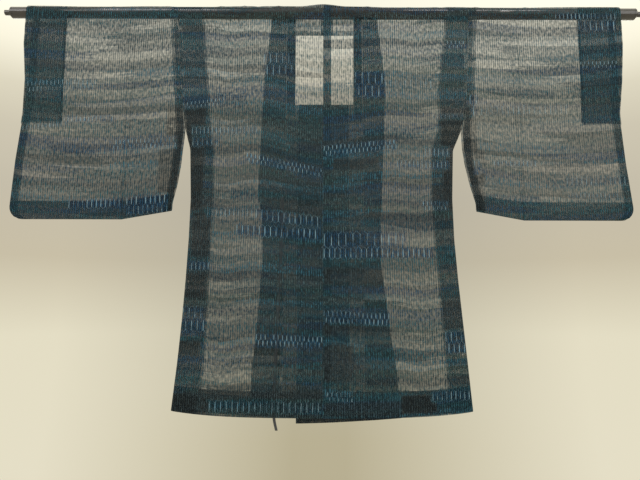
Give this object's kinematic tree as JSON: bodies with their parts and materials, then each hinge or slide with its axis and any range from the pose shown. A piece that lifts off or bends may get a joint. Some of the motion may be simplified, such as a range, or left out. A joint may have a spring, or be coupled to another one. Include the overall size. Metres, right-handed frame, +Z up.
{
  "type": "sheer kimono coat on a hanging rod",
  "caption": "Sheer square-necked kimono coat with wide sleeves, hung flat and open on a plain rod through both sleeves.",
  "frame": {"origin": "middle of the rod's axis, where the rod that carries the coat is held", "axes": "+X along the rod towards the wearer's right sleeve, +Y out of the coat's fronts, +Z up; the coat's back faces -Y"},
  "size_m": [1.4406, 0.0521, 0.931],
  "materials": {
    "gauze": "sheer leno gauze in dark indigo, teal and brown bands, dry and slightly crisp",
    "tie_cloth": "narrow folded cloth tie, matte",
    "rod_coating": "dark satin coating"
  },
  "bodies": {
    "root": {"body_left": "gauze", "body_right": "gauze", "front_band_left": "gauze", "front_band_right": "gauze", "neck_band_left": "gauze", "neck_band_right": "gauze", "back_neck_facing": "gauze", "sleeve_left": "gauze", "sleeve_right": "gauze", "sleeve_facing_left": "gauze", "sleeve_facing_right": "gauze", "tie": "tie_cloth", "rod": "rod_coating", "rod_end_left": "rod_coating", "rod_end_right": "rod_coating"}
  },
  "joints": []
}
